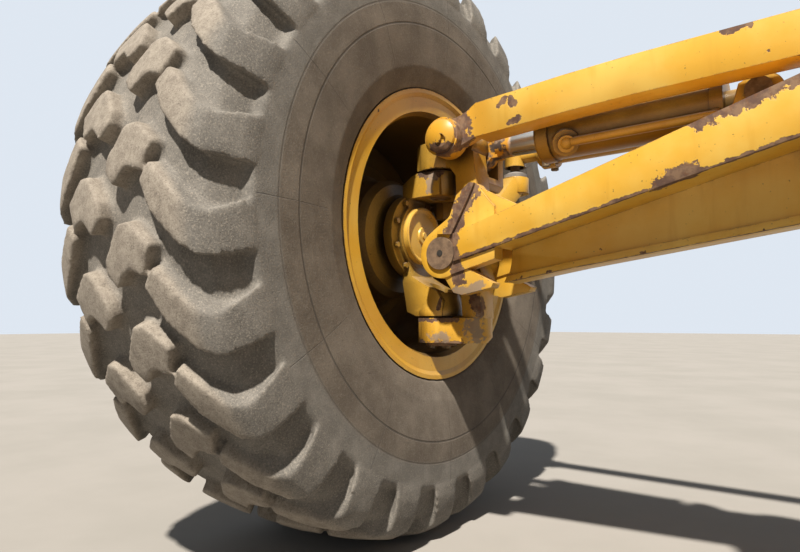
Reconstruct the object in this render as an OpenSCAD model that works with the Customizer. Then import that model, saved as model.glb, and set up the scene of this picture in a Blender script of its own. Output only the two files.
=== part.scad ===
// Leaning-wheel front axle of a motor grader: one beam, two lean castings, two knuckles,
// lean bar, lean cylinder, tie rod and two wheels.
// X to the machine's right, Y forward, Z up, origin on the centre pivot's axis.

/* [Axle] */
// distance between the two tyre centres
track = 2280; // [2220:5:2320]
// height of the centre pivot above the wheel centres
wheel_drop = 90; // [80:1:100]
// distance from each lean pin out to its kingpin
lean_offset = 77; // [74:1:80]
// height of the lean pins below the centre pivot
lean_pin_low = 155; // [150:1:160]
// height of the top pins above the lean pins
lean_link = 280; // [274:1:286]
// distance from each kingpin out to the middle of its tyre
king_offset = 235; // [232:1:240]
// depth of the beam's box, front to back
beam_depth = 240; // [236:1:260]
// thickness of the beam's web
web_t = 60; // [40:1:64]
// thickness of the beam's bottom flange
flange_t = 14; // [8:1:20]
// depth of the beam's bottom flange, front to back
flange_depth = 74; // [68:1:90]
// thickness of each ear that holds a lean pin
ear_t = 38; // [30:1:40]
// radius of each ear round its lean pin
ear_r = 58; // [50:1:60]

/* [Centre pivot] */
// radius of the centre pivot's bore
pivot_bore_r = 60; // [45:1:70]
// outer radius of the centre pivot's housing
pivot_r = 96; // [90:1:100]
// length of the centre pivot's housing
pivot_len = 300; // [280:2:340]

/* [Pins] */
// radius of the lean pins
lean_pin_r = 30; // [22:1:34]
// radius of the top pins, which carry the lean bar
top_pin_r = 24; // [18:1:26]
// radius of the kingpins
kingpin_r = 28; // [20:1:32]
// radial clearance of each pin in its bore
pin_fit = 0.05; // [0.02:0.01:0.1]
// side gap between pieces that turn against each other
side_gap = 5; // [5:0.5:6]

/* [Lean castings] */
// radius of the kingpin bosses
king_boss_r = 58; // [50:1:60]
// height of the lower face of the upper kingpin boss above the centre pivot
yoke_top_z = 70; // [68:1:74]
// thickness of the upper kingpin boss
yoke_top_t = 66; // [60:1:70]
// depth of the upper face of the lower kingpin boss below the centre pivot
yoke_foot_z = 305; // [300:1:310]
// thickness of the lower kingpin boss
yoke_foot_t = 61; // [50:1:66]

/* [Lean bar] */
// height of the lean bar's section
bar_h = 80; // [70:1:84]
// length of the lean bar's eyes, front to back
bar_t = 55; // [50:1:58]
// radius of the lean bar's eyes
bar_eye_r = 46; // [42:1:48]
// height of the lean bar's middle above its pins
bar_rise = 50; // [46:1:54]

/* [Lean cylinder] */
// outer radius of the lean cylinder's barrel
barrel_r = 54; // [48:1:58]
// radius of the lean cylinder's rod
rod_r = 27; // [20:1:30]
// length of the cylinder's rod that shows, up to its eye's middle
rod_show = 180; // [170:1:190]
// distance from the middle of the axle to the barrel's base pin
barrel_pin_x = 190; // [180:1:200]
// distance of the cylinder's axis behind the middle of the beam
cylinder_back = 61; // [60:1:62]

/* [Knuckles] */
// radius of the spindle in the hub
spindle_r = 50; // [40:1:60]
// distance of the tie rod's ball behind the kingpin
arm_back = 310; // [300:1:314]
// distance of the tie rod's ball inboard of the kingpin
arm_in = 59; // [56:1:61]
// height of the tie rod's balls above the centre pivot
ball_z = 165; // [160:1:170]
// radius of the tie rod's balls
ball_r = 20; // [16:1:22]
// radius of the tie rod's tube
tie_r = 34; // [30:1:36]

/* [Wheels] */
// radius of the tyre at the middle of its tread
tyre_r = 760; // [745:1:775]
// width of the tyre
tyre_w = 528; // [510:2:540]
// depth of the tread
tread_depth = 32; // [20:1:40]
// number of shoulder lugs on each side of the tyre
lug_count = 26; // [22:1:30]
// radius of the rim's bead seat
bead_r = 317.5; // [310:0.5:322]
// width of the rim over its flanges
rim_w = 472; // [460:1:480]
// radius of the rim's flanges
flange_r = 368.5; // [362:0.5:372]
// thickness of the rim's barrel
rim_t = 12; // [10:1:16]

/* [Hidden] */
$fn = 64;

paint = [0.93, 0.68, 0.12];
steel = [0.6, 0.6, 0.6];
rubber = [0.16, 0.15, 0.14];

// heights and places that follow
lean_z = -lean_pin_low;
top_z = lean_z + lean_link;
wheel_x = track / 2;
kingpin_x = wheel_x - king_offset;
lean_pin_x = kingpin_x - lean_offset;
barrel_end_x = lean_pin_x - rod_show;
half_depth = beam_depth / 2;
ear_out = half_depth - side_gap;
ear_in = ear_out - ear_t;
yoke_half = ear_in - side_gap;
bar_back = king_boss_r + side_gap;
bar_front = bar_back + bar_t;
bar_face = bar_front - 28;
bar_depth = 62;
cap_r = 40;
rod_eye_t = 40;
rod_eye_y = -cylinder_back;
rod_clear = 16;
slot_half = rod_eye_t / 2 + side_gap;
lean_room_r = 140;

module about_y(r, y0, y1) translate([0, y1, 0]) rotate([90, 0, 0]) cylinder(r = r, h = y1 - y0);
module about_x(r, x0, x1) translate([x0, 0, 0]) rotate([0, 90, 0]) cylinder(r = r, h = x1 - x0);
module about_z(r, z0, z1) translate([0, 0, z0]) cylinder(r = r, h = z1 - z0);
// an outline in X and Z, taken from y0 to y1
module plate(y0, y1, pts)
  translate([0, y1, 0]) rotate([90, 0, 0]) linear_extrude(height = y1 - y0) polygon(pts);
// a piece on the right and its mirror image on the left
module both() {
  children();
  mirror([1, 0, 0]) children();
}
module at_lean() translate([lean_pin_x, 0, lean_z]) children();
module at_top() translate([lean_pin_x, 0, top_z]) children();
module at_king() translate([kingpin_x, 0, 0]) children();
module at_ball() translate([kingpin_x - arm_in, -arm_back, 0]) children();
module at_wheel() translate([wheel_x, 0, -wheel_drop]) children();

// ---- axle beam ----
strap_end = lean_pin_x - 35;
strap_top = 100;
strap_flat = 95;
// height of the beam's sloping top at a place along it
top_slope = (lean_z + 45 - strap_top) / (strap_end - strap_flat - 6);
function beam_top(x) = strap_top - 2 + (x - strap_flat - 6) * top_slope;
web_low = [[0, -130], [135, -144], [lean_pin_x - 299, lean_z - 41], [lean_pin_x - 88, lean_z - 74]];

// one ear: peak is the height of its upper tip
module ear(y, peak) difference() {
  union() {
    at_lean() about_y(ear_r, y, y + ear_t);
    plate(y, y + ear_t, [
      [lean_pin_x + 34, lean_z + 47], [lean_pin_x + 18, lean_z + 58],
      [lean_pin_x - 28, (lean_z + peak) / 2 + 8],
      [lean_pin_x - 46, peak - 25], [lean_pin_x - 80, peak], [lean_pin_x - 93, peak - 2],
      [lean_pin_x - 124, peak - 42],
      [lean_pin_x - 140, peak - 60], [lean_pin_x - 140, lean_z - 21], [lean_pin_x - 20, lean_z - 52]
    ]);
    // gusset down to the beam's top
    plate(y + 8, y + ear_t - 8, [
      [lean_pin_x - 100, peak - 12], [lean_pin_x - 200, beam_top(lean_pin_x - 200) - 3],
      [lean_pin_x - 140, beam_top(lean_pin_x - 140) - 12]
    ]);
    // foot under the ear
    plate(y, y + ear_t - 4, [
      [lean_pin_x - 2, lean_z - 50], [lean_pin_x - 52, lean_z - 30], [lean_pin_x - 133, lean_z - 74],
      [lean_pin_x - 128, lean_z - 84],
      [lean_pin_x - 52, lean_z - 98], [lean_pin_x - 30, lean_z - 92]
    ]);
  }
  at_lean() about_y(lean_pin_r + pin_fit, y - 1, y + ear_t + 1);
}

module axle_half() {
  // box of the beam, from the middle down to the ears
  plate(-half_depth, half_depth, [
    [0, -10], [120, -11], [strap_end, lean_z - 21], [strap_end, lean_z + 43], [strap_flat + 6, strap_top - 2],
    [strap_flat, strap_top], [0, strap_top]
  ]);
  // web and bottom flange
  plate(-web_t / 2, web_t / 2, concat(
    [[0, 0]], web_low, [[strap_end, lean_z - 57], [strap_end, lean_z], [120, 0]]
  ));
  plate(-flange_depth / 2, flange_depth / 2, concat(
    web_low, [for (i = [3:-1:0]) web_low[i] + [0, flange_t]]
  ));
  ear(ear_in, 1);
  ear(-ear_out, -75);
  // raised rib on the front ear, from the pin up to the tip
  plate(ear_out - 1, ear_out + 6, [
    [lean_pin_x + 10, lean_z + 46], [lean_pin_x - 28, lean_z + 85], [lean_pin_x - 46, lean_z + 131],
    [lean_pin_x - 80, lean_z + 156],
    [lean_pin_x - 93, lean_z + 154], [lean_pin_x - 78, lean_z + 123], [lean_pin_x - 31, lean_z + 42]
  ]);
}

module axle_beam() color(paint) difference() {
  both() axle_half();
  about_y(pivot_r + 0.3, -half_depth - 1, half_depth + 1);
  // room for each lean casting between its ears
  both() at_lean() about_y(lean_room_r, -ear_in, ear_in);
  // flats for the heads of the lean pins
  both() at_lean() for (y = [ear_out, -ear_out - 20]) about_y(lean_pin_r + 9, y, y + 20);
}

module pivot_housing() color(paint) difference() {
  about_y(pivot_r, -pivot_len / 2, pivot_len / 2);
  about_y(pivot_bore_r, -pivot_len / 2 - 1, pivot_len / 2 + 1);
}

module lean_pins() color(steel) both() at_lean() {
  about_y(lean_pin_r, -ear_out, ear_out);
  about_y(lean_pin_r + 8, ear_out, ear_out + 6);
}

// ---- lean castings ----
spine_back = -22;
foot_x = lean_pin_x - 13;
module yoke() difference() {
  union() {
    // spine with its curved back, from the lower boss up to the top pin
    plate(spine_back, 40, [
      [lean_pin_x - 62, -yoke_foot_z - 2], [lean_pin_x - 60, lean_z - 96],
      [lean_pin_x - 67, lean_z - 60], [lean_pin_x - 56, lean_z - 20],
      [lean_pin_x - 56, lean_z + 150], [lean_pin_x - 44, top_z - 26], [lean_pin_x, top_z],
      [lean_pin_x + 43, yoke_top_z + yoke_top_t],
      [kingpin_x, yoke_top_z + yoke_top_t], [kingpin_x, yoke_top_z], [lean_pin_x + 24, yoke_top_z],
      [lean_pin_x + 6, yoke_top_z - 24],
      [lean_pin_x + 2, lean_z + 50], [lean_pin_x, lean_z], [lean_pin_x - 4, lean_z - 50],
      [lean_pin_x - 11, -yoke_foot_z - 2]
    ]);
    at_lean() about_y(52, -yoke_half, yoke_half);
    // upper and lower kingpin blocks
    plate(-50, 50, [
      [kingpin_x - 24, yoke_top_z], [kingpin_x + 38, yoke_top_z],
      [kingpin_x + 37, yoke_top_z + yoke_top_t - 10],
      [kingpin_x + 27, yoke_top_z + yoke_top_t], [kingpin_x - 24, yoke_top_z + yoke_top_t]
    ]);
    plate(-50, 50, [
      [kingpin_x + 36, -yoke_foot_z], [kingpin_x + 33, -yoke_foot_z - yoke_foot_t + 14],
      [kingpin_x + 17, -yoke_foot_z - yoke_foot_t], [foot_x, -yoke_foot_z - yoke_foot_t],
      [foot_x, -yoke_foot_z]
    ]);
    // rounded inner end of the lower block
    translate([foot_x, 0, 0]) rotate_extrude() polygon([
      [0, -yoke_foot_z - yoke_foot_t], [38, -yoke_foot_z - yoke_foot_t],
      [50, -yoke_foot_z - yoke_foot_t + 14], [50, -yoke_foot_z], [0, -yoke_foot_z]
    ]);
    at_king() about_z(king_boss_r, yoke_top_z, yoke_top_z + yoke_top_t);
    at_king() about_z(king_boss_r, -yoke_foot_z - yoke_foot_t, -yoke_foot_z);
    at_top() about_y(45, -cylinder_back - slot_half - 28, 40);
    // rear cheek of the clevis and the shelf that carries it
    plate(-cylinder_back - slot_half - 28, -cylinder_back - slot_half, [
      [lean_pin_x - 44, top_z], [lean_pin_x - 44, top_z - 90], [lean_pin_x - 32, top_z - 103],
      [lean_pin_x + 4, top_z - 103],
      [lean_pin_x + 12, top_z - 90], [lean_pin_x + 44, top_z]
    ]);
    plate(-cylinder_back - slot_half - 1, spine_back + 1, [
      [lean_pin_x - 44, top_z - 70], [lean_pin_x - 44, top_z - 90], [lean_pin_x - 32, top_z - 103],
      [lean_pin_x + 4, top_z - 103],
      [lean_pin_x + 12, top_z - 90], [lean_pin_x + 14, top_z - 70]
    ]);
  }
  // slot for the cylinder's eye
  translate([lean_pin_x - 90, -cylinder_back - slot_half, top_z - 75]) cube([168, 2 * slot_half, 150]);
  at_lean() about_y(lean_pin_r + pin_fit, -yoke_half - 1, yoke_half + 1);
  at_top() about_y(top_pin_r + pin_fit, -200, 200);
  at_king() about_z(kingpin_r + pin_fit, -yoke_foot_z - yoke_foot_t - 1, yoke_top_z + yoke_top_t + 1);
}
module yoke_right() color(paint) yoke();
module yoke_left() color(paint) mirror([1, 0, 0]) yoke();

module kingpins() at_king() {
  about_z(kingpin_r, 8, yoke_top_z + yoke_top_t);
  about_z(kingpin_r, -yoke_foot_z - yoke_foot_t, -245);
  about_z(kingpin_r + 10, -yoke_foot_z - yoke_foot_t - 8, -yoke_foot_z - yoke_foot_t);
}
module kingpins_right() color(steel) kingpins();
module kingpins_left() color(steel) mirror([1, 0, 0]) kingpins();

module top_pin() at_top() {
  about_y(top_pin_r, -cylinder_back - slot_half - 28, bar_front + 1);
  // domed cap with a crescent recess
  difference() {
    intersection() {
      about_y(cap_r, bar_front + 0.5, bar_front + 40);
      translate([0, bar_front + 14 - 70, 0]) sphere(r = 70);
    }
    translate([-6, 0, -14]) difference() {
      about_y(15, bar_front + 6, bar_front + 30);
      translate([9, 0, 7]) about_y(13, bar_front + 5, bar_front + 31);
    }
  }
}
module top_pin_right() color(steel) top_pin();
module top_pin_left() color(steel) mirror([1, 0, 0]) top_pin();

// ---- lean bar ----
// the bar's middle line, as [place along the axle, height above the pins]
bar_line = [[lean_pin_x - 83, bar_rise - 20], [lean_pin_x - 190, bar_rise - 14],
  [lean_pin_x - 290, bar_rise - 8], [lean_pin_x - 430, bar_rise - 3], [lean_pin_x - 700, bar_rise]];
module lean_bar() color(paint) difference() {
  union() {
    both() {
      at_top() about_y(bar_eye_r - 5, bar_back, bar_front);
      at_top() about_y(bar_eye_r, bar_back, bar_front - 5);
      // bar, deeper than its neck
      plate(bar_face - bar_depth, bar_face, concat(
        [[0, top_z + bar_rise - bar_h / 2]],
        [for (i = [4:-1:0]) [bar_line[i][0], top_z + bar_line[i][1] - bar_h / 2]],
        [for (i = [0:4]) [bar_line[i][0], top_z + bar_line[i][1] + bar_h / 2]],
        [[0, top_z + bar_rise + bar_h / 2]]
      ));
      // neck that narrows down to the eye
      plate(bar_back, bar_face, [
        [lean_pin_x - 110, top_z + bar_line[0][1] - bar_h / 2 + 4],
        [lean_pin_x - 82, top_z + bar_line[0][1] - bar_h / 2], [lean_pin_x - 40, top_z - 24],
        [lean_pin_x, top_z - bar_eye_r + 2],
        [lean_pin_x, top_z + bar_eye_r - 1], [lean_pin_x - 30, top_z + bar_eye_r],
        [lean_pin_x - 56, top_z + 54],
        [lean_pin_x - 82, top_z + bar_line[0][1] + bar_h / 2],
        [lean_pin_x - 110, top_z + bar_line[0][1] + bar_h / 2 - 1]
      ]);
    }
  }
  both() at_top() about_y(top_pin_r + pin_fit, bar_back - 1, bar_front + 1);
}

// ---- lean cylinder ----
module cylinder_bracket() color(paint) difference() {
  for (y = [rod_eye_y - 47, rod_eye_y + 29]) plate(y, y + 18, [
    [barrel_pin_x - 60, beam_top(barrel_pin_x - 60) + 0.3],
    [barrel_pin_x + 60, beam_top(barrel_pin_x + 60) + 0.3],
    [barrel_pin_x + 34, top_z + 20], [barrel_pin_x, top_z + 36],
    [barrel_pin_x - 34, top_z + 20]
  ]);
  translate([barrel_pin_x, 0, top_z]) about_y(24 + pin_fit, -200, 200);
}
module cylinder_pin() color(steel) translate([barrel_pin_x, 0, top_z]) about_y(24, rod_eye_y - 55,
  rod_eye_y + 55);

pipe_end_x = barrel_pin_x + 74;
module lean_barrel() color(paint) difference() {
  union() {
    translate([0, rod_eye_y, top_z]) {
      about_x(barrel_r, barrel_pin_x + 60, barrel_end_x);
      about_x(barrel_r + 5, barrel_end_x - 34, barrel_end_x - 6);
      about_x(barrel_r + 4, barrel_pin_x + 60, barrel_pin_x + 84);
      translate([barrel_pin_x, 0, 0]) about_y(42, -26, 26);
      about_x(25, barrel_pin_x, barrel_pin_x + 61);
    }
    // port boss, its nut and the pipe along the barrel
    translate([barrel_end_x - 66, rod_eye_y + 26, top_z - 20]) rotate([-115, 0, 25]) {
      cylinder(r = 30, h = 40);
      cylinder(r = 19, h = 56);
    }
    translate([barrel_end_x - 84, rod_eye_y + 64, top_z - 38]) rotate([0, -90, 0]) {
      sphere(r = 17);
      cylinder(r = 10, h = barrel_end_x - 84 - pipe_end_x);
    }
    translate([pipe_end_x, rod_eye_y + 64, top_z - 38]) {
      sphere(r = 10);
      rotate([60, 0, 0]) cylinder(r = 10, h = 40);
    }
  }
  translate([barrel_pin_x, 0, top_z]) about_y(24 + pin_fit, -200, 200);
  translate([0, rod_eye_y, top_z]) about_x(rod_r + pin_fit, barrel_end_x - 260, barrel_end_x + 1);
}

module lean_rod() color(steel) difference() {
  translate([0, rod_eye_y, top_z]) {
    about_x(rod_r, barrel_end_x - 140, lean_pin_x - 62);
    translate([lean_pin_x - 66, -rod_eye_t / 2, -rod_r]) cube([36, rod_eye_t, 2 * rod_r]);
    translate([lean_pin_x, 0, 0]) about_y(top_pin_r + rod_clear + 15, -rod_eye_t / 2, rod_eye_t / 2);
  }
  at_top() about_y(top_pin_r + rod_clear, -200, 200);
}

// ---- knuckles ----
module knuckle() difference() {
  union() {
    // upper block, curved body behind it and lower arm
    plate(-50, 50, [
      [kingpin_x - 30, 3], [kingpin_x - 28, 58], [kingpin_x - 14, 65], [wheel_x - 196, 65],
      [wheel_x - 177, 59], [wheel_x - 150, 40],
      [wheel_x - 150, -215], [wheel_x - 164, -289], [wheel_x - 192, -300], [kingpin_x - 36, -300],
      [kingpin_x - 36, -262],
      [kingpin_x - 20, -238], [wheel_x - 212, -218], [wheel_x - 178, -198], [wheel_x - 169, -172],
      [wheel_x - 169, 3]
    ]);
    at_king() about_z(50, 3, 65);
    // lower boss, wider at its foot
    at_king() rotate_extrude() polygon([[0, -300], [60, -300], [60, -288], [45, -242], [0, -242]]);
    at_wheel() about_x(110, -160, -134);
    at_wheel() about_x(84, -170, -140);
    at_wheel() about_x(72, -135, -120);
    at_wheel() about_x(spindle_r, -137, 50);
  }
  at_king() about_z(kingpin_r + pin_fit, -301, 66);
}
module knuckle_right() color(paint) knuckle();
module knuckle_left() color(paint) mirror([1, 0, 0]) knuckle();

// dished cover with a raised edge, a boss and a plug in the middle
module spindle_cap() at_wheel() rotate([0, -90, 0]) rotate_extrude() polygon([
  [0, 170], [75, 170], [75, 184], [72, 186], [69, 186], [67, 183], [60, 179], [24, 180], [22, 184],
  [10, 184], [9, 188], [0, 188]
]);
module spindle_cap_right() color(paint) spindle_cap();
module spindle_cap_left() color(paint) mirror([1, 0, 0]) spindle_cap();

arm_top = ball_z - 60;
module steering_arm() difference() {
  union() {
    at_ball() about_z(38, arm_top - 46, arm_top);
    intersection() {
      translate([0, 0, -60]) linear_extrude(height = 200) polygon([
        [wheel_x - 170.5, -78], [wheel_x - 188, -50.3], [kingpin_x + 25, -50.3],
        [kingpin_x - arm_in - 30, -arm_back + 10], [kingpin_x - arm_in + 30, -arm_back - 10]
      ]);
      rotate([90, 0, 90]) linear_extrude(height = wheel_x) polygon([
        [-50, -40], [-50, 6], [-205, 14], [-268, arm_top - 4], [-400, arm_top - 4], [-400, arm_top - 42],
        [-300, arm_top - 46], [-230, -22], [-130, -34]
      ]);
    }
  }
  at_ball() about_z(14 + pin_fit, -60, 200);
}
module steering_arm_right() color(paint) steering_arm();
module steering_arm_left() color(paint) mirror([1, 0, 0]) steering_arm();

module ball_stud() at_ball() {
  about_z(14, arm_top - 46, ball_z);
  translate([0, 0, ball_z]) sphere(r = ball_r);
}
module ball_stud_right() color(steel) ball_stud();
module ball_stud_left() color(steel) mirror([1, 0, 0]) ball_stud();

module ball_seal() at_ball() difference() {
  rotate_extrude() polygon([[15, arm_top + 0.5], [34, arm_top + 0.5], [34, arm_top + 11],
    [17, arm_top + 19], [15, arm_top + 19]]);
}
module ball_seal_right() color(rubber) ball_seal();
module ball_seal_left() color(rubber) mirror([1, 0, 0]) ball_seal();

// ---- tie rod ----
module tie_end(stem) at_ball() difference() {
  union() {
    about_z(31, ball_z - 27, ball_z + 24);
    translate([0, 0, ball_z]) rotate([0, -90, 0]) cylinder(r = 17, h = stem);
  }
  translate([0, 0, ball_z]) sphere(r = ball_r + 0.5);
  translate([0, 0, ball_z - 40]) cylinder(r = 25, h = 30);
}
module tie_end_right() color(paint) tie_end(200);
module tie_end_left() color(paint) mirror([1, 0, 0]) tie_end(200);

tie_x = kingpin_x - arm_in;
module tie_rod() color(paint) translate([0, -arm_back, ball_z]) difference() {
  about_x(tie_r, -tie_x + 80, tie_x - 80);
  about_x(tie_r - 6, -tie_x + 79, -tie_x + 330);
  about_x(17 + pin_fit, tie_x - 210, tie_x + 79);
}
module tie_clamps() color(paint) translate([0, -arm_back, ball_z]) both() difference() {
  about_x(tie_r + 10, tie_x - 130, tie_x - 90);
  about_x(tie_r, tie_x - 131, tie_x - 89);
}

// ---- wheels ----
module hub() at_wheel() difference() {
  rotate([0, 90, 0]) rotate_extrude() polygon([
    [0, -112], [118, -112], [146, -104], [160, -84], [164, -40], [172, -10], [190, 14], [225, 24],
    [225, 50], [110, 50], [110, 82], [0, 82]
  ]);
  about_x(spindle_r + pin_fit, -121, 60);
  about_x(84, -121, -96);
}
module hub_right() color(paint) hub();
module hub_left() color(paint) mirror([1, 0, 0]) hub();

module hub_cap() at_wheel() rotate([0, 90, 0]) rotate_extrude() polygon([
  [0, 82], [104, 82], [104, 94], [84, 96], [80, 118], [68, 130], [30, 134], [0, 134]
]);
module hub_cap_right() color(paint) hub_cap();
module hub_cap_left() color(paint) mirror([1, 0, 0]) hub_cap();

half_w = rim_w / 2;
module rim() at_wheel() rotate([0, 90, 0]) rotate_extrude() polygon([
  [bead_r, -half_w + 22], [flange_r - 8, -half_w + 22], [flange_r, -half_w + 8], [flange_r, -half_w],
  [flange_r - 10, -half_w], [flange_r - 20, -half_w + 6], [bead_r - 4, -half_w + 8],
  [bead_r - rim_t, -half_w + 24],
  [bead_r - rim_t, 50.3], [110.3, 50.3], [110.3, 76], [bead_r - rim_t, 76], [bead_r - rim_t, half_w - 24],
  [bead_r - 4, half_w - 8], [flange_r - 20, half_w - 6], [flange_r - 10, half_w], [flange_r, half_w],
  [flange_r, half_w - 8], [flange_r - 8, half_w - 22], [bead_r, half_w - 22]
]);
module rim_right() color(paint) rim();
module rim_left() color(paint) mirror([1, 0, 0]) rim();

// outline of each shoulder lug and each centre block, laid flat: [across the tyre, along the tread]
shoulder_lug = [
  [-115, 196], [-142, 226], [-177, 194], [-221, 145], [-241, 127], [-275, 150], [-275, 44], [-235, 55],
  [-204, 81], [-154, 132]
];
centre_block = [[-144, 86], [-117, 33], [-81, 45], [-65, 38], [-38, 14], [-6, 44], [-10, 71], [-58, 129],
  [-87, 130]];
// turn of the left half of the tread against the right half
far_turn = 7.64;
half_tyre = tyre_w / 2;
tread_x = tyre_w / 528;
tread_y = tyre_r / 760 * 26 / lug_count;

module lug_prism(pts, side) rotate([-90, 0, 0]) translate([0, 0, tyre_r - 200])
  linear_extrude(height = 240) polygon([for (p = pts) [side * p[0] * tread_x, -p[1] * tread_y]]);
// one side of the tyre's section as [radius, distance from the middle], and its mirror image
function mirrored(pts) = concat(pts, [for (i = [len(pts) - 1:-1:0]) [pts[i][0], -pts[i][1]]]);
// radius of the sidewall at a share of its height
function side_r(share) = flange_r + (tyre_r - flange_r) * share;
carcass = [
  [bead_r + 0.3, half_w - 22.3], [flange_r - 7.7, half_w - 22.3], [flange_r + 1, half_w - 10],
  [flange_r + 3, half_w],
  [side_r(0.13), half_tyre - 12], [side_r(0.387), half_tyre - 2], [side_r(0.591), half_tyre - 3.4],
  [side_r(0.645), half_tyre - 5.2],
  [side_r(0.672), half_tyre - 22.4], [side_r(0.74), half_tyre - 28.4], [side_r(0.821), half_tyre - 40.6],
  [tyre_r - tread_depth - 8, half_tyre - 84], [tyre_r - tread_depth, 60]
];
tread_band = [
  [tyre_r - 50, 100], [tyre_r - 70, 170], [side_r(0.775), half_tyre - 48], [side_r(0.66), half_tyre - 32],
  [side_r(0.61), half_tyre - 12], [side_r(0.628), half_tyre - 4.2], [side_r(0.65), half_tyre - 2.6],
  [side_r(0.719), half_tyre - 4],
  [side_r(0.821), half_tyre - 14], [tyre_r - 40, half_tyre - 28], [tyre_r - 20, half_tyre - 54],
  [tyre_r - 8, 150], [tyre_r, 60]
];
module tyre() union() {
  rotate([0, 90, 0]) rotate_extrude($fn = 96) polygon(mirrored(carcass));
  intersection() {
    rotate([0, 90, 0]) rotate_extrude($fn = 96) polygon(mirrored(tread_band));
    union() for (i = [0:lug_count - 1]) rotate([i * 360 / lug_count, 0, 0]) {
      lug_prism(shoulder_lug, 1);
      lug_prism(centre_block, 1);
      rotate([far_turn, 0, 0]) {
        lug_prism(shoulder_lug, -1);
        lug_prism(centre_block, -1);
      }
    }
  }
}
module tyre_right() color(rubber) at_wheel() tyre();
module tyre_left() color(rubber) rotate([0, 0, 180]) at_wheel() tyre();

axle_beam();
pivot_housing();
lean_pins();
cylinder_bracket();
cylinder_pin();
lean_bar();
lean_barrel();
lean_rod();
yoke_right();
yoke_left();
kingpins_right();
kingpins_left();
top_pin_right();
top_pin_left();
knuckle_right();
knuckle_left();
spindle_cap_right();
spindle_cap_left();
steering_arm_right();
steering_arm_left();
ball_stud_right();
ball_stud_left();
ball_seal_right();
ball_seal_left();
tie_rod();
tie_end_right();
tie_end_left();
tie_clamps();
hub_right();
hub_left();
hub_cap_right();
hub_cap_left();
rim_right();
rim_left();
tyre_right();
tyre_left();
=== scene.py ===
"""Looks for the leaning-wheel front axle of a motor grader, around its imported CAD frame.

Metres; X to the machine's right, Y forward, Z up, origin on the centre pivot's axis.
"""

import math

import bmesh
import bpy
from mathutils import Matrix, Vector


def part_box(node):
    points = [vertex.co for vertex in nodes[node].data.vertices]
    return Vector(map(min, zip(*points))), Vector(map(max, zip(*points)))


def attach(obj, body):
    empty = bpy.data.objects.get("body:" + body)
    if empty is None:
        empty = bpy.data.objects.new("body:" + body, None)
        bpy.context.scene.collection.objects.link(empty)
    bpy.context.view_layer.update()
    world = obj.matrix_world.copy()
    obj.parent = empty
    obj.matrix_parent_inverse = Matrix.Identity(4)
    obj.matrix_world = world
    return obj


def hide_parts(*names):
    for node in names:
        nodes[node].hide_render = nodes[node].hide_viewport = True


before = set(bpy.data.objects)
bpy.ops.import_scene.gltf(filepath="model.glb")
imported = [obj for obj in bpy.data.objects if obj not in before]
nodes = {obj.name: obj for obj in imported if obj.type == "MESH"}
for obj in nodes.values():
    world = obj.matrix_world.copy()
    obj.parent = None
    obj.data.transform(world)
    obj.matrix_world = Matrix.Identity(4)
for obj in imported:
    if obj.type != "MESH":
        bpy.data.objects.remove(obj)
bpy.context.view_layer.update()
scene = bpy.context.scene

# Places worked out from the frame

SIDES = {"right": 1, "left": -1}
tyre_low, tyre_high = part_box("tyre_right")
WHEEL = (tyre_low + tyre_high) / 2
TYRE_R = (tyre_high.z - tyre_low.z) / 2
FLOOR_Z = tyre_low.z
# length of chromed rod between the barrel and the rod's eye
ROD_SHOW = 0.082
EYE_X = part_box("lean_barrel")[1].x + ROD_SHOW

# Radii on the tyre's side, from the bead out

LINES_FROM = 0.43
CIRCLE_R = 0.516
OUTER_CIRCLE_R = 0.566
LINES_TO = 0.616
# outside this radius the tyre is worn rounder
TREAD_FROM = 0.58
# where the paler shoulder, the coarse grain and the pale edges begin, and where each is full
SHOULDER_BAND = (0.558, 0.574)
GRAIN_BAND = (0.56, 0.66)
EDGE_BAND = (0.60, 0.64)

# Colours of paint, steel, dirt and painted shade

YELLOW = (0.84, 0.455, 0.042)
YELLOW_PALE = (0.90, 0.57, 0.110)
YELLOW_DEEP = (0.66, 0.31, 0.022)
PRIMER = (0.130, 0.070, 0.047)
BARE = (0.265, 0.158, 0.090)
RUST = (0.200, 0.085, 0.035)
# grime, also used as painted shade in the corners of the paint
GRIME_AND_SHADE = (0.060, 0.038, 0.026)
# soot, used as painted shade deep in the hollows
SOOT_AND_SHADE = (0.030, 0.017, 0.010)
DUST = (0.33, 0.25, 0.18)
MUD = (0.36, 0.255, 0.175)
CHROME = (0.72, 0.70, 0.66)
CHROME_DULL = (0.50, 0.48, 0.44)
EYE_RUST = (0.30, 0.20, 0.13)
PIN_STEEL = (0.290, 0.190, 0.115)
PIN_STEEL_DARK = (0.150, 0.095, 0.060)
BOLT_STEEL = (0.30, 0.22, 0.13)
BOLT_STEEL_DARK = (0.11, 0.08, 0.06)

# Colours of rubber, and painted shade for holes

SEAL = (0.20, 0.19, 0.18)
SEAL_DUSTY = (0.36, 0.33, 0.30)
# a near-black disc painted as the shade inside a hole
HOLE_SHADE = (0.020, 0.017, 0.014)
HOLE_SHADE_DUSTY = (0.045, 0.038, 0.030)

# Colours of the tyre

WALL = (0.135, 0.107, 0.080)
WALL_DUSTY = (0.225, 0.186, 0.145)
SHOULDER = (0.185, 0.168, 0.145)
SHOULDER_DUSTY = (0.265, 0.242, 0.210)
LUG = (0.270, 0.226, 0.180)
LUG_PALE = (0.440, 0.378, 0.305)
LUG_EDGE = (0.42, 0.37, 0.31)
SAND = (0.47, 0.41, 0.335)
GRAIN_DARK = (0.085, 0.072, 0.058)
# painted shade in the tread's grooves
GROOVE_SHADE = (0.035, 0.030, 0.025)
PIT_DARK = (0.06, 0.050, 0.042)
LINE_DARK = (0.045, 0.038, 0.032)

# Colours of the floor and the sky

FLOOR = (0.36, 0.335, 0.30)
FLOOR_PALE = (0.40, 0.37, 0.335)
FLOOR_AS_LIGHT = (0.20, 0.185, 0.165)
SKY = (0.80, 0.87, 0.96, 1)
SKY_SEEN = 0.92
SKY_AS_LIGHT = 0.15


# Material graphs


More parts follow.
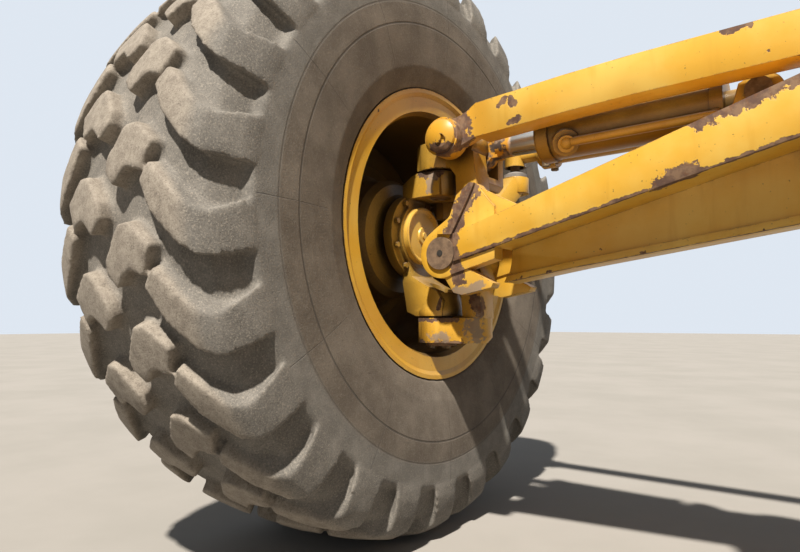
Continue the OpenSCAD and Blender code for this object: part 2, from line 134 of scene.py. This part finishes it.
def seen_directly(tree):
    """1 for rays from the camera and for mirrored or refracted ones, 0 for those that light things."""
    path = tree.nodes.new("ShaderNodeLightPath")
    best = path.outputs["Is Camera Ray"]
    for ray in ("Is Glossy Ray", "Is Transmission Ray"):
        most = tree.nodes.new("ShaderNodeMath")
        most.operation = "MAXIMUM"
        tree.links.new(best, most.inputs[0])
        tree.links.new(path.outputs[ray], most.inputs[1])
        best = most.outputs[0]
    return best


class Graph:
    """A material's node tree, written as expressions: each call adds nodes and returns an output."""

    def __init__(self, name):
        self.mat = bpy.data.materials.new(name)
        self.mat.use_nodes = True
        self.tree = self.mat.node_tree
        self.shader = self.tree.nodes["Principled BSDF"]

    def put(self, socket, value):
        """Links or sets a socket; a colour of three numbers gets its alpha."""
        if isinstance(value, bpy.types.NodeSocket):
            self.tree.links.new(value, socket)
        elif isinstance(value, tuple) and len(value) == 3 and len(socket.default_value) == 4:
            socket.default_value = (*value, 1)
        else:
            socket.default_value = value

    def node(self, kind, out=0, sockets=None, **settings):
        """Adds a node with its sockets and settings filled, and returns its output out."""
        n = self.tree.nodes.new(kind)
        for key, value in settings.items():
            setattr(n, key, value)
        for key, value in (sockets or {}).items():
            self.put(n.inputs[key], value)
        return n.outputs[out]

    def math(self, op, a, b=0.0):
        return self.node("ShaderNodeMath", 0, {0: a, 1: b}, operation=op)

    def plus(self, a, b):
        return self.math("ADD", a, b)

    def minus(self, a, b):
        return self.math("SUBTRACT", a, b)

    def times(self, a, b):
        return self.math("MULTIPLY", a, b)

    def larger(self, a, b):
        return self.math("MAXIMUM", a, b)

    def distance(self, a, b):
        return self.math("ABSOLUTE", self.minus(a, b))

    def vector(self, op, a, b, out=0):
        return self.node("ShaderNodeVectorMath", out, {0: a, 1: b}, operation=op)

    def split(self, vector):
        """The x, y and z of a vector."""
        n = self.tree.nodes.new("ShaderNodeSeparateXYZ")
        self.tree.links.new(vector, n.inputs[0])
        return n.outputs

    def where(self):
        return self.node("ShaderNodeTexCoord", "Object")

    def noise(self, scale, detail=4, rough=0.6, stretch=None):
        """Noise from 0 to 1, drawn out along the axes where stretch is under 1."""
        place = self.where()
        if stretch:
            place = self.vector("MULTIPLY", place, stretch)
        sockets = {"Vector": place, "Scale": scale, "Detail": detail, "Roughness": rough}
        return self.node("ShaderNodeTexNoise", "Fac", sockets)

    def step(self, value, low, high, to_low=0.0, to_high=1.0):
        """A smooth step: to_low up to low, to_high from high on."""
        sockets = {"Value": value, "From Min": low, "From Max": high, "To Min": to_low, "To Max": to_high}
        return self.node("ShaderNodeMapRange", 0, sockets, interpolation_type="SMOOTHSTEP")

    def mix(self, fac, a, b):
        """Colour a where fac is 0, colour b where it is 1."""
        n = self.tree.nodes.new("ShaderNodeMix")
        n.data_type = "RGBA"
        self.put(n.inputs["Factor"], fac)
        self.put(n.inputs[6], a)
        self.put(n.inputs[7], b)
        return n.outputs[2]

    def openness(self, reach, samples):
        """1 on open faces, towards 0 in corners and hollows of that reach."""
        return self.node("ShaderNodeAmbientOcclusion", "AO", {"Distance": reach}, samples=samples)

    def edges(self, radius, low=0.02, high=0.25):
        """1 on edges sharper than the radius, 0 on flats."""
        soft = self.node("ShaderNodeBevel", 0, {"Radius": radius}, samples=4)
        hard = self.node("ShaderNodeNewGeometry", "Normal")
        return self.step(self.vector("DOT_PRODUCT", soft, hard, "Value"), 1 - low, 1 - high)

    def mirrored_place(self):
        """Position with both halves of the axle folded onto the right one."""
        x, y, z = self.split(self.where())
        n = self.tree.nodes.new("ShaderNodeCombineXYZ")
        for socket, value in zip(n.inputs, (self.math("ABSOLUTE", x), y, z)):
            self.put(socket, value)
        return n.outputs[0]

    def strokes(self, places):
        """1 on the lines (from, to, radius), falling to 0 at their radius."""
        place = self.mirrored_place()
        best = None
        for start, end, radius in places:
            start, line = Vector(start), Vector(end) - Vector(start)
            off = self.vector("SUBTRACT", place, tuple(start))
            along = self.vector("DOT_PRODUCT", off, tuple(line / line.length_squared), "Value")
            along = self.node("ShaderNodeClamp", 0, {"Value": along})
            sockets = {0: tuple(line), "Scale": along}
            back = self.node("ShaderNodeVectorMath", 0, sockets, operation="SCALE")
            off = self.vector("SUBTRACT", off, back)
            far = self.node("ShaderNodeVectorMath", "Value", {0: off}, operation="LENGTH")
            near = self.minus(1.0, self.times(far, 1 / radius))
            best = near if best is None else self.larger(best, near)
        return best

    def ragged(self, places, scale=34, fray=1.0, soft=0.03):
        """The strokes with a torn outline."""
        torn = self.times(self.minus(self.noise(scale, 6, 0.68), 0.5), 2.4 * fray)
        return self.step(self.plus(self.strokes(places), torn), 0.42 - soft, 0.42 + soft)

    def finish(self, color, roughness, bump=None, strength=0.3, distance=0.002, metallic=0.0):
        """Wires colour, roughness and height into the shader, and returns the material."""
        self.put(self.shader.inputs["Base Color"], color)
        self.put(self.shader.inputs["Roughness"], roughness)
        self.put(self.shader.inputs["Metallic"], metallic)
        if bump is not None:
            sockets = {"Strength": strength, "Distance": distance, "Height": bump}
            self.put(self.shader.inputs["Normal"], self.node("ShaderNodeBump", 0, sockets))
        return self.mat


# Paint


def faded_yellow(g):
    """Yellow with pale and deep patches, streaks that run down, and small dark specks."""
    color = g.mix(g.step(g.noise(5, 5), 0.35, 0.7), YELLOW, YELLOW_PALE)
    color = g.mix(g.times(g.step(g.noise(2.2, 3), 0.5, 0.72), 0.7), color, YELLOW_DEEP)
    streak = g.noise(24, 4, 0.55, (1, 1, 0.12))
    color = g.mix(g.times(g.step(streak, 0.54, 0.76), 0.4), color, YELLOW_DEEP)
    speck = g.step(g.noise(130, 3), 0.69, 0.72)
    return g.mix(g.times(speck, 0.6), color, GRIME_AND_SHADE)


def chipped(g, worn, edge_wear, chips):
    """1 where the paint is gone: along the edges, in spots and in the worn places."""
    edge_level = 0.585 - 0.09 * edge_wear
    spot_level = 0.735 - 0.05 * chips
    edge = g.times(g.edges(0.005), g.step(g.noise(38, 6, 0.72), edge_level, edge_level + 0.02))
    spot = g.step(g.noise(21, 4, 0.55), spot_level, spot_level + 0.007)
    chip = g.larger(edge, spot)
    return g.larger(chip, g.ragged(worn)) if worn else chip


def under_paint(g):
    """Primer and bare metal with rust."""
    color = g.mix(g.step(g.noise(48, 5, 0.65), 0.40, 0.6), PRIMER, BARE)
    return g.mix(g.times(g.step(g.noise(85, 5, 0.7), 0.54, 0.64), 0.65), color, RUST)


def paint_material(name, worn=(), muddy=(), edge_wear=1.0, chips=0.0, hollow_shade=0.0, shallow=0.72):
    """Sun-faded yellow paint with chips, grime, dust and painted shade in its corners; the hollow-shade
    amount sets how dark the soot and painted shade in its hollows get.
    """
    g = Graph(name)
    chip = chipped(g, worn, edge_wear, chips)
    color = g.mix(chip, faded_yellow(g), under_paint(g))
    # grime and painted shade in the corners
    grime_and_shade = g.times(g.step(g.openness(0.06, 6), 0.85, 0.3), g.step(g.noise(14, 5), 0.3, 0.62))
    color = g.mix(g.times(grime_and_shade, 0.7), color, GRIME_AND_SHADE)
    # soot and painted shade deep in the hollows
    if hollow_shade:
        color = g.mix(g.times(g.step(g.openness(0.30, 8), shallow, 0.30), hollow_shade), color, SOOT_AND_SHADE)
    # dust on what faces up
    up = g.split(g.node("ShaderNodeNewGeometry", "Normal"))[2]
    dust = g.times(g.times(g.step(up, 0.25, 0.95), g.step(g.noise(9, 5), 0.35, 0.7)), 0.5)
    color = g.mix(dust, color, DUST)
    if muddy:
        mud = g.times(g.ragged(muddy, 60, 1.2, 0.14), 0.9)
        color = g.mix(mud, color, g.mix(g.step(g.noise(70, 5, 0.7), 0.38, 0.62), MUD, DUST))
        dust = g.larger(dust, mud)
    rough = g.step(g.larger(chip, dust), 0, 1, 0.38, 0.85)
    height = g.minus(g.times(g.noise(90, 4), 0.2), chip)
    return g.finish(color, rough, height, 0.4, 0.0012)


# Steel and rubber


def steel_material(name, light, dark, rough, metallic):
    """Scuffed and stained steel."""
    g = Graph(name)
    color = g.mix(g.step(g.noise(60, 6, 0.65), 0.35, 0.68), light, dark)
    color = g.mix(g.times(g.step(g.noise(18, 5), 0.55, 0.7), 0.8), color, GRIME_AND_SHADE)
    scuffs = g.step(g.noise(42, 4), 0.3, 0.7, rough - 0.08, rough + 0.2)
    return g.finish(color, scuffs, g.noise(180, 4), 0.35, 0.001, metallic)


def rod_material():
    """Hard-chromed rod with faint lengthwise scratches, and its grimy eye with remains of paint."""
    g = Graph("chrome_rod")
    scratch = g.noise(60, 3, 0.5, (0.06, 1, 1))
    chrome = g.mix(g.step(scratch, 0.4, 0.7), CHROME, CHROME_DULL)
    rust = g.mix(g.step(g.noise(40, 5), 0.42, 0.6), GRIME_AND_SHADE, EYE_RUST)
    eye = g.mix(g.step(g.noise(22, 5, 0.65), 0.46, 0.52), rust, YELLOW_DEEP)
    x = g.plus(g.split(g.where())[0], g.times(g.noise(30, 5), 0.02))
    at_eye = g.step(x, EYE_X, EYE_X + 0.012)
    rough = g.plus(g.step(scratch, 0.3, 0.7, 0.22, 0.38), g.times(at_eye, 0.45))
    return g.finish(g.mix(at_eye, chrome, eye), rough, scratch, 0.08, 0.0005, g.minus(1.0, at_eye))


def rubber_material(name, color, dusty, rough):
    """Plain rubber, or a dark disc painted as the shade of a hollow, with dusty patches."""
    g = Graph(name)
    shade = g.mix(g.step(g.noise(30, 5), 0.35, 0.7), color, dusty)
    return g.finish(shade, rough, g.noise(160, 4), 0.3, 0.001)


# Tyre


def tyre_rubber(g, radius):
    """Dark wall, paler shoulder, and the lightest on the worn faces of the lugs."""
    wall = g.mix(g.step(g.noise(9, 6, 0.65), 0.32, 0.7), WALL, WALL_DUSTY)
    shoulder = g.mix(g.step(g.noise(16, 5), 0.35, 0.7), SHOULDER, SHOULDER_DUSTY)
    color = g.mix(g.step(radius, *SHOULDER_BAND), wall, shoulder)
    uneven = g.plus(radius, g.times(g.noise(30, 5), 0.012))
    face = g.mix(g.step(g.noise(44, 6, 0.72), 0.32, 0.72), LUG, LUG_PALE)
    return g.mix(g.step(uneven, TYRE_R - 0.030, TYRE_R - 0.010), color, face)


def mould_lines(g, radius, angle):
    """1 on two fine circles and twelve short radial lines of the sidewall."""
    circle = g.step(g.distance(radius, CIRCLE_R), 0.0030, 0.0012)
    outer = g.step(g.distance(radius, OUTER_CIRCLE_R), 0.0030, 0.0008, 0.0, 0.45)
    spoke = g.step(g.math("ABSOLUTE", g.math("SINE", g.times(angle, 6.0))), 0.012, 0.004)
    inside = g.step(radius, LINES_TO, LINES_TO - 0.004)
    outside = g.step(radius, LINES_FROM, LINES_FROM + 0.005)
    return g.larger(g.times(spoke, g.times(outside, inside)), g.larger(circle, outer))


def tyre_material():
    """Dusty rubber: worn, grainy tread blocks, a paler shoulder, painted shade in the grooves, and fine mould
    lines on the sidewall.
    """
    g = Graph("tyre")
    place = g.split(g.where())
    y = place[1]
    z = g.minus(place[2], WHEEL.z)
    radius = g.math("SQRT", g.plus(g.times(y, y), g.times(z, z)))
    color = tyre_rubber(g, radius)
    # sandy grain, strongest on the tread
    grain = g.noise(300, 4, 0.75)
    coarse = g.step(radius, *GRAIN_BAND, 0.20, 0.60)
    color = g.mix(g.times(g.step(grain, 0.52, 0.64), coarse), color, SAND)
    color = g.mix(g.times(g.step(grain, 0.46, 0.34), coarse), color, GRAIN_DARK)
    # pale edges on the lugs, painted shade in the grooves, and dark pits
    edge = g.times(g.edges(0.010, 0.01, 0.12), g.step(radius, *EDGE_BAND))
    color = g.mix(g.times(edge, 0.45), color, LUG_EDGE)
    color = g.mix(g.times(g.step(g.openness(0.05, 6), 0.75, 0.2), 0.6), color, GROOVE_SHADE)
    pit = g.step(g.noise(150, 4, 0.7), 0.60, 0.68)
    color = g.mix(g.times(pit, 0.45), color, PIT_DARK)
    line = mould_lines(g, radius, g.math("ARCTAN2", z, y))
    color = g.mix(g.times(line, 0.55), color, LINE_DARK)
    height = g.plus(g.times(g.noise(75, 6, 0.7), 0.7), g.times(grain, 0.7))
    height = g.minus(g.minus(height, g.times(pit, 0.6)), line)
    return g.finish(color, 0.85, height, 0.5, 0.0025)


# Worn and muddy places on the right half, as (from, to, radius); the left half mirrors them

BEAM_WORN = [
    ((0.741, 0.121, -0.010), (0.797, 0.121, -0.105), 0.034),
    ((0.797, 0.121, -0.105), (0.786, 0.118, -0.215), 0.030),
    ((0.100, 0.121, 0.098), (0.270, 0.121, 0.046), 0.030),
    ((0.120, 0.118, -0.014), (0.300, 0.118, -0.055), 0.012),
    ((0.340, 0.118, -0.064), (0.790, 0.118, -0.172), 0.0075),
    ((0.290, 0.120, -0.048), (0.340, 0.120, -0.066), 0.034),
    ((0.000, 0.030, -0.130), (0.135, 0.030, -0.144), 0.010),
    ((0.135, 0.030, -0.144), (0.530, 0.030, -0.194), 0.009),
    ((0.530, 0.030, -0.194), (0.740, 0.030, -0.229), 0.008),
]
BEAM_MUD = [((0.730, 0.110, -0.235), (0.790, 0.110, -0.250), 0.020)]
BAR_WORN = [
    ((0.783, 0.095, 0.160), (0.783, 0.095, 0.095), 0.040),
    ((0.800, 0.110, 0.090), (0.830, 0.110, 0.082), 0.028),
    ((0.686, 0.090, 0.176), (0.672, 0.090, 0.188), 0.013),
    ((0.655, 0.090, 0.184), (0.648, 0.090, 0.172), 0.014),
    ((0.664, 0.090, 0.130), (0.640, 0.090, 0.134), 0.012),
    ((0.230, 0.090, 0.212), (0.190, 0.090, 0.214), 0.014),
    ((0.700, 0.090, 0.105), (0.000, 0.090, 0.135), 0.008),
]
CASTING_WORN = [
    ((0.930, 0.050, 0.062), (0.868, 0.050, 0.055), 0.022),
    ((0.940, 0.050, -0.309), (0.825, 0.050, -0.308), 0.012),
    ((0.870, 0.050, -0.250), (0.882, 0.050, -0.289), 0.008),
    ((0.775, 0.030, -0.290), (0.790, 0.030, -0.230), 0.028),
    ((0.935, 0.050, -0.365), (0.790, 0.050, -0.366), 0.012),
]
CASTING_MUD = [
    ((0.785, 0.045, -0.318), (0.775, 0.040, -0.352), 0.040),
    ((0.860, 0.050, -0.352), (0.900, 0.050, -0.350), 0.018),
    ((0.905, 0.050, 0.020), (0.895, 0.050, 0.050), 0.020),
]
CAP_WORN = [((0.800, 0.125, 0.095), (0.850, 0.125, 0.090), 0.026)]

MATERIALS = {
    "beam": paint_material("paint_beam", BEAM_WORN, BEAM_MUD, edge_wear=1.1, chips=0.25),
    "bar": paint_material("paint_bar", BAR_WORN, edge_wear=0.9),
    "casting": paint_material("paint_casting", CASTING_WORN, CASTING_MUD, chips=0.35, hollow_shade=0.75),
    "cap": paint_material("paint_cap", CAP_WORN, edge_wear=1.1, chips=0.4),
    # the rim and hub get the darkest painted shade deep inside the wheel
    "rim": paint_material("paint_rim", chips=0.15, hollow_shade=0.93, shallow=0.86),
    "hub": paint_material("paint_hub", chips=0.3, hollow_shade=0.93),
    "paint": paint_material("paint_plain", edge_wear=0.8, hollow_shade=0.7),
    "pin": steel_material("pin_steel", PIN_STEEL, PIN_STEEL_DARK, rough=0.75, metallic=0.2),
    "bolt": steel_material("bolt_steel", BOLT_STEEL, BOLT_STEEL_DARK, rough=0.65, metallic=0.4),
    "rod": rod_material(),
    "seal": rubber_material("seal", SEAL, SEAL_DUSTY, rough=0.6),
    "hole_shade": rubber_material("painted_hole_shade", HOLE_SHADE, HOLE_SHADE_DUSTY, rough=0.9),
    "tyre": tyre_material(),
}


# Looks of the CAD nodes, by their names without a side

NODE_LOOKS = {
    "axle_beam": "beam",
    "pivot_housing": "beam",
    "lean_pins": "pin",
    "cylinder_bracket": "beam",
    "cylinder_pin": "pin",
    "lean_bar": "bar",
    "lean_barrel": "paint",
    "lean_rod": "rod",
    "yoke": "casting",
    "kingpins": "pin",
    "top_pin": "cap",
    "knuckle": "casting",
    "spindle_cap": "cap",
    "steering_arm": "casting",
    "ball_stud": "pin",
    "ball_seal": "seal",
    "tie_rod": "paint",
    "tie_end": "paint",
    "tie_clamps": "paint",
    "hub": "hub",
    "hub_cap": "paint",
    "rim": "rim",
    "tyre": "tyre",
}
# widths of the rounded edges
EDGES = {"axle_beam": 0.002, "lean_bar": 0.003, "yoke": 0.004, "knuckle": 0.004, "steering_arm": 0.004}


def dress(obj, look):
    """Gives obj its look in place of what it had."""
    obj.data.materials.clear()
    obj.data.materials.append(MATERIALS[look])


def round_edges(obj, width):
    """Breaks the sharp edges of a CAD node, as cast and plate edges are."""
    obj.data.shade_smooth()
    weld = obj.modifiers.new("weld", "WELD")
    weld.merge_threshold = 0.00002
    bevel = obj.modifiers.new("round", "BEVEL")
    bevel.width = width
    bevel.segments = 2
    bevel.limit_method = "ANGLE"
    bevel.angle_limit = math.radians(35)
    bevel.use_clamp_overlap = True
    bevel.harden_normals = True


def dress_nodes():
    for name, node in nodes.items():
        kind = name.removesuffix("_right").removesuffix("_left")
        dress(node, NODE_LOOKS[kind])
        if kind in EDGES:
            round_edges(node, EDGES[kind])


# Pieces


def new_object(name, mesh, look, body):
    """A piece that rides on a body and takes its finish from a slot."""
    obj = bpy.data.objects.new(name, mesh)
    scene.collection.objects.link(obj)
    dress(obj, look)
    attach(obj, body)
    return obj


def remeshed(mesh):
    """An even, slightly eased copy of a mesh, with about a third of its faces."""
    obj = bpy.data.objects.new("tyre_work", mesh.copy())
    scene.collection.objects.link(obj)
    weld = obj.modifiers.new("weld", "WELD")
    weld.merge_threshold = 0.0001
    remesh = obj.modifiers.new("remesh", "REMESH")
    remesh.mode = "VOXEL"
    remesh.voxel_size = 0.005
    ease = obj.modifiers.new("ease", "SMOOTH")
    ease.factor = 0.5
    ease.iterations = 2
    thin = obj.modifiers.new("thin", "DECIMATE")
    thin.ratio = 0.32
    graph = bpy.context.evaluated_depsgraph_get()
    result = bpy.data.meshes.new_from_object(obj.evaluated_get(graph))
    bpy.data.objects.remove(obj)
    return result


def worn_tyre(side):
    """One tyre's mesh with worn lugs; the tread is worn rounder than the beads, which stay on the rim."""
    mesh = remeshed(nodes[f"tyre_{side}"].data)
    bm = bmesh.new()
    bm.from_mesh(mesh)
    tread = [v for v in bm.verts if math.hypot(v.co.y - WHEEL.y, v.co.z - WHEEL.z) > TREAD_FROM]
    for _ in range(2):
        bmesh.ops.smooth_vert(bm, verts=tread, factor=0.5, use_axis_x=True, use_axis_y=True, use_axis_z=True)
    bm.to_mesh(mesh)
    bm.free()
    mesh.shade_smooth()
    return mesh


def tyres():
    for side in SIDES:
        tyre = new_object(f"worn_tyre_{side}", worn_tyre(side), "tyre", f"wheel_{side}")
        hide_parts(f"tyre_{side}")


# Bolts and small fittings

HEX = 6
ROUND = 20
# a hexagon's far end is a little narrower, as if chamfered
CHAMFER = 0.97
WASHER = 0.003
NUT_COUNT = 15
NUT_CIRCLE = 0.178
NUT_R = 0.019
NUT_HEIGHT = 0.020
STUD_R = 0.009
STUD_TIP_R = 0.008
STUD_LENGTH = 0.012
# how far the middle of a stud's end lies outside its nut
STUD_OUT = 0.003
# bolts of the hub cover, in from its edge, and round the spindle cover, out from its edge
SMALL_COUNT = 10
SMALL_R = 0.0075
HUB_BOLTS_IN = 0.010
SPINDLE_BOLTS_OUT = 0.024
# the valve's place: out from the wheel's middle, and from its axis
VALVE_OUT = 0.140
VALVE_RADIUS = 0.285
# how far the rim's disc lies in from the hub's outer end
RIM_DISC_IN = 0.006
# seat of the hub cover's bolts, out from the cover's inner end
HUB_BOLTS_SEAT = 0.015
# seat of the bolts round the spindle cover, in from the wheel's middle
SPINDLE_BOLTS_SEAT = 0.163


def prism(middle, axis, radius, length, corners=HEX, tip=None):
    """A prism or cylinder along an axis; tip is its radius at the far end."""
    return middle, axis, radius, length, corners, radius if tip is None else tip


def prisms(name, look, body, items):
    """One object of prisms and cylinders, as prism() gives them."""
    bm = bmesh.new()
    for middle, axis, radius, length, corners, tip in items:
        turn = Vector(axis).to_track_quat("Z", "Y").to_matrix().to_4x4()
        bmesh.ops.create_cone(
            bm,
            cap_ends=True,
            segments=corners,
            radius1=radius,
            radius2=tip,
            depth=length,
            matrix=Matrix.Translation(middle) @ turn,
        )
    for face in bm.faces:
        face.smooth = False
    mesh = bpy.data.meshes.new(name)
    bm.to_mesh(mesh)
    bm.free()
    new_object(name, mesh, look, body)


def ring(x, out, radius, count, *shape):
    """Equal prisms on a circle about the wheel's axis, their middles at x, pointing out."""
    items = []
    for i in range(count):
        a = (i + 0.5) * math.tau / count
        middle = (x, WHEEL.y + radius * math.cos(a), WHEEL.z + radius * math.sin(a))
        items.append(prism(middle, (out, 0, 0), *shape))
    return items


def bolt_circle(seat_x, out, radius, count, size, height):
    """Hexagons on a circle about the wheel's axis: seat_x is what they sit on, out the way they point."""
    return ring(seat_x + out * height / 2, out, radius, count, size, height, HEX, size * CHAMFER)


def wheel_nuts(side, s):
    """Nuts on washers on the rim's disc, with the ends of their studs."""
    disc_x = s * (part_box("hub_right")[1].x - RIM_DISC_IN)
    stud_x = disc_x + s * (WASHER + NUT_HEIGHT + STUD_OUT)
    items = ring(disc_x + s * WASHER / 2, s, NUT_CIRCLE, NUT_COUNT, NUT_R * 1.12, WASHER, ROUND)
    items += bolt_circle(disc_x + s * WASHER, s, NUT_CIRCLE, NUT_COUNT, NUT_R, NUT_HEIGHT)
    items += ring(stud_x, s, NUT_CIRCLE, NUT_COUNT, STUD_R, STUD_LENGTH, 12, STUD_TIP_R)
    prisms(f"wheel_nuts_{side}", "bolt", f"wheel_{side}", items)


def hub_cap_bolts(side, s):
    low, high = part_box("hub_cap_right")
    radius = (high.z - low.z) / 2 - HUB_BOLTS_IN
    items = bolt_circle(s * (low.x + HUB_BOLTS_SEAT), s, radius, SMALL_COUNT, SMALL_R, 0.007)
    prisms(f"hub_cap_bolts_{side}", "bolt", f"wheel_{side}", items)


def valve(side, s):
    """The valve with its cap, on the outer side of the rim."""
    x, y, z = s * (WHEEL.x + VALVE_OUT), WHEEL.y + VALVE_RADIUS, WHEEL.z
    stem = prism((x, y, z), (s, 0, 0), 0.007, 0.060, 14, 0.005)
    cap = prism((x + s * 0.036, y, z), (s, 0, 0), 0.006, 0.014, 14)
    prisms(f"valve_{side}", "seal", f"wheel_{side}", [stem, cap])


def spindle_bolts(side, s):
    """Bolts on the knuckle's disc round the spindle cover, which point inwards."""
    low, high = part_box("spindle_cap_right")
    radius = (high.z - low.z) / 2 + SPINDLE_BOLTS_OUT
    items = bolt_circle(s * (WHEEL.x - SPINDLE_BOLTS_SEAT), -s, radius, SMALL_COUNT, SMALL_R, 0.008)
    prisms(f"spindle_bolts_{side}", "casting", f"knuckle_{side}", items)


def painted_pin_hole(side, s):
    """A thin dark disc on the front of a lean pin, painted as the shade of its centre hole."""
    low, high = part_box("lean_pins")
    pin_r = (high.z - low.z) / 2
    middle = (s * (high.x - pin_r), high.y - 0.0005, (low.z + high.z) / 2)
    prisms(f"painted_pin_hole_{side}", "hole_shade", "axle", [prism(middle, (0, 1, 0), 0.0075, 0.003, ROUND)])


def kingpin_bolts(side, s):
    """Three bolts under the lower kingpin."""
    low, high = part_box("kingpins_right")
    circle_r = 0.024
    items = []
    for i in range(3):
        a = 0.8 + i * math.tau / 3
        x = s * (low.x + high.x) / 2 + circle_r * math.cos(a)
        middle = (x, circle_r * math.sin(a), low.z - 0.003)
        items.append(prism(middle, (0, 0, -1), 0.008, 0.007))
    prisms(f"kingpin_bolts_{side}", "bolt", f"yoke_{side}", items)


def clamp_bolts(side, s):
    """Two bolts under each clamp of the tie rod."""
    low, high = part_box("tie_clamps")
    tie_low, tie_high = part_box("tie_rod")
    items = []
    for dy in (-0.030, 0.030):
        middle = (s * (high.x - 0.020), (tie_low.y + tie_high.y) / 2 + dy, low.z + 0.010)
        items.append(prism(middle, (0, 0, 1), 0.011, 0.022))
    prisms(f"clamp_bolts_{side}", "bolt", "tie_rod", items)


def fittings():
    for side, s in SIDES.items():
        for make in (wheel_nuts, hub_cap_bolts, valve, spindle_bolts, painted_pin_hole, kingpin_bolts, clamp_bolts):
            make(side, s)


# Floor, light and camera

SUN_FROM = (-0.22, 0.50, 0.84)
CAMERA_AT = (0.0565, 1.2796, -0.315)
CAMERA_RIGHT = (-0.79369, -0.60832, 0.0)
CAMERA_UP = (-0.04659, 0.06079, 0.99706)


def backdrop():
    """A plain pale floor, darker to the rays that light things."""
    bpy.ops.mesh.primitive_plane_add(size=60, location=(0, 0, FLOOR_Z))
    floor = bpy.context.object
    floor.name = "floor"
    g = Graph("floor")
    color = g.mix(g.step(g.noise(1.5, 4), 0.3, 0.7), FLOOR, FLOOR_PALE)
    color = g.mix(seen_directly(g.tree), FLOOR_AS_LIGHT, color)
    floor.data.materials.append(g.finish(color, 0.9))


def sky():
    """A pale sky that only the camera, reflections and refractions see in full."""
    world = bpy.data.worlds.new("studio")
    scene.world = world
    world.use_nodes = True
    tree = world.node_tree
    back = tree.nodes["Background"]
    back.inputs["Color"].default_value = SKY
    level = tree.nodes.new("ShaderNodeMapRange")
    level.inputs["To Min"].default_value = SKY_AS_LIGHT
    level.inputs["To Max"].default_value = SKY_SEEN
    tree.links.new(seen_directly(tree), level.inputs["Value"])
    tree.links.new(level.outputs[0], back.inputs["Strength"])


def sunlight():
    """A high sun from behind the camera."""
    sun = bpy.data.lights.new("key", "SUN")
    sun.energy = 6.0
    sun.angle = math.radians(2)
    sun.color = (1.0, 0.95, 0.87)
    key = bpy.data.objects.new("key", sun)
    scene.collection.objects.link(key)
    key.rotation_euler = Vector(SUN_FROM).to_track_quat("Z", "Y").to_euler()


def camera():
    """The photograph's viewpoint: low, in front of the beam, looking back and out at the right wheel."""
    data = bpy.data.cameras.new("photo")
    data.sensor_width = 36
    data.lens = 27
    cam = bpy.data.objects.new("photo", data)
    scene.collection.objects.link(cam)
    right, up = Vector(CAMERA_RIGHT), Vector(CAMERA_UP)
    turn = Matrix((right, up, right.cross(up))).transposed().to_4x4()
    cam.matrix_world = Matrix.Translation(CAMERA_AT) @ turn
    scene.camera = cam


dress_nodes()
tyres()
fittings()
backdrop()
sky()
sunlight()
camera()
scene.view_settings.view_transform = "Standard"
